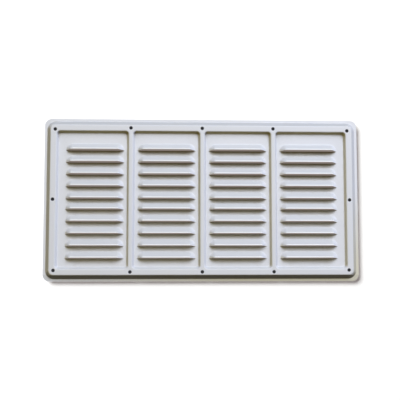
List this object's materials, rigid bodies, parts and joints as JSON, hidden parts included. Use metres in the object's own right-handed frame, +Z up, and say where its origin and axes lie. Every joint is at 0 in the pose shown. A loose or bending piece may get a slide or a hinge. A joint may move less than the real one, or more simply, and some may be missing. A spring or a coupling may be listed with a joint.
{
  "type": "fridge vent grille",
  "caption": "Pressed sheet grille with a flat flange, raised border, ribs and rows of louvres that open downwards, screwed over a wall opening to air a refrigerator.",
  "frame": {"origin": "middle of the flange, in the plane of its back, which lies on the wall", "axes": "+X to the right across the grille as seen from in front, +Y from the front into the wall, +Z up; the louvres open downwards"},
  "size_m": [0.497, 0.0125, 0.256],
  "materials": {
    "painted_sheet": "smooth off-white enamel, satin"
  },
  "bodies": {
    "root": {"vent_grille": "painted_sheet"}
  },
  "joints": []
}
